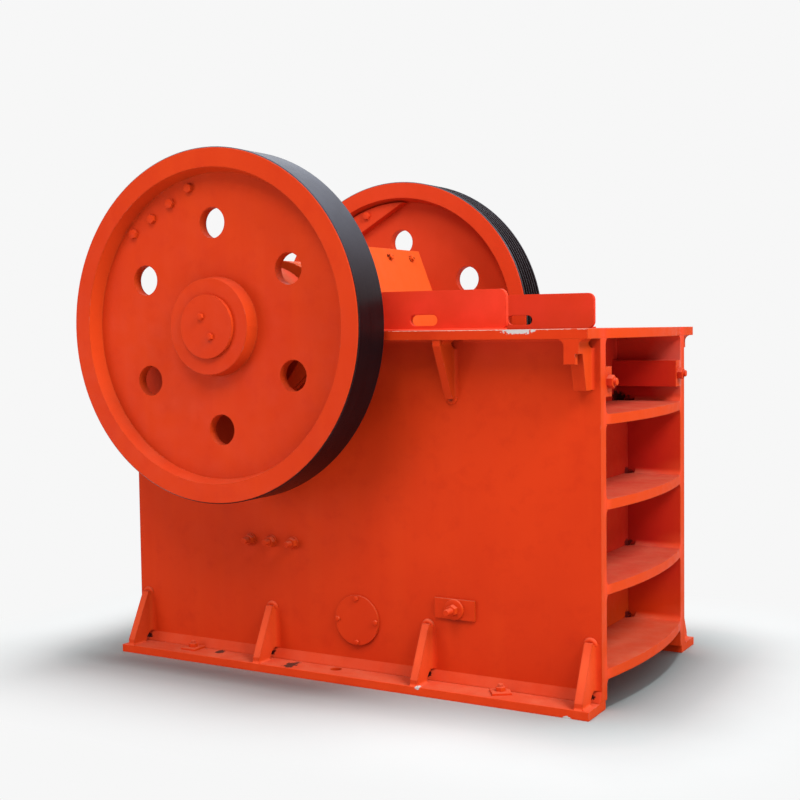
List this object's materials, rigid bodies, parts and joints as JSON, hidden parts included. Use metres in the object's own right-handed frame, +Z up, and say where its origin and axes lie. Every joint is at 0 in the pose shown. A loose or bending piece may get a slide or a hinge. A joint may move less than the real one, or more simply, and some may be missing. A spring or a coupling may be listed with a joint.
{
  "type": "jaw crusher",
  "caption": "Single-toggle jaw crusher with a ribbed box frame, a flywheel and a grooved sheave on one eccentric shaft, toothed jaw plates, toggle and tension rod.",
  "frame": {"origin": "floor level, at the middle of the overall box in plan", "axes": "+X toward the feed end with the bowed ribs, +Y toward the grooved sheave, +Z up"},
  "size_m": [2.138, 1.602, 2.001],
  "materials": {
    "frame_paint": "orange-red machine enamel over mill plate, chipped at edges",
    "wheel_paint": "orange-red enamel on cast iron, dark bare rim",
    "pitman_paint": "bright orange enamel on a casting",
    "jaw_steel": "rough cast manganese steel",
    "bare_steel": "turned steel",
    "cast_iron": "cast iron, greased",
    "spring_steel": "black enamel"
  },
  "bodies": {
    "frame": {"side_wall_left": "frame_paint", "side_wall_right": "frame_paint", "top_flange_left": "frame_paint", "top_flange_right": "frame_paint", "foot_left": "frame_paint", "foot_right": "frame_paint", "foot_gussets_left": "frame_paint", "foot_gussets_right": "frame_paint", "front_wall": "frame_paint", "front_ribs": "frame_paint", "front_top_plate": "frame_paint", "flange_gussets": "frame_paint", "lifting_lugs": "frame_paint", "hopper_guard_left": "frame_paint", "hopper_guard_right": "frame_paint", "bearing_seat_left": "frame_paint", "bearing_seat_right": "frame_paint", "bearing_cap_left": "frame_paint", "bearing_cap_right": "frame_paint", "bearing_covers": "frame_paint", "side_bars": "frame_paint", "inspection_covers": "frame_paint", "tie_plates": "frame_paint", "cheek_plates_left": "jaw_steel", "cheek_plates_right": "jaw_steel", "fixed_jaw_plate": "jaw_steel", "rear_wall": "frame_paint", "thrust_beam": "frame_paint", "rear_ribs": "frame_paint", "toggle_block": "cast_iron", "block_rails": "frame_paint", "shim_pack": "bare_steel", "toggle_plate": "cast_iron", "tension_rod": "bare_steel", "rod_spring": "spring_steel", "rod_nut": "bare_steel"},
    "rotor": {"eccentric_shaft": "bare_steel", "flywheel": "wheel_paint", "sheave": "wheel_paint", "counterweights": "wheel_paint", "wheel_caps": "wheel_paint"},
    "pitman": {"pitman": "pitman_paint", "rod_pin": "bare_steel", "swing_jaw_plate": "jaw_steel", "swing_jaw_wedge": "pitman_paint", "splash_plate": "pitman_paint", "pitman_covers": "pitman_paint"}
  },
  "joints": [
    {"name": "shaft_spin", "type": "hinge", "parent": "frame", "child": "rotor", "pos_m": [-0.387, 0, 1.34], "axis": [0, 1, 0], "continuous": true},
    {"name": "pitman_orbit", "type": "hinge", "parent": "rotor", "child": "pitman", "pos_m": [-0.381, 0, 1.32961], "axis": [0, 1, 0], "continuous": true}
  ],
  "couplings": [
    {"joint": "pitman_orbit", "follows": "shaft_spin", "ratio": -1}
  ]
}
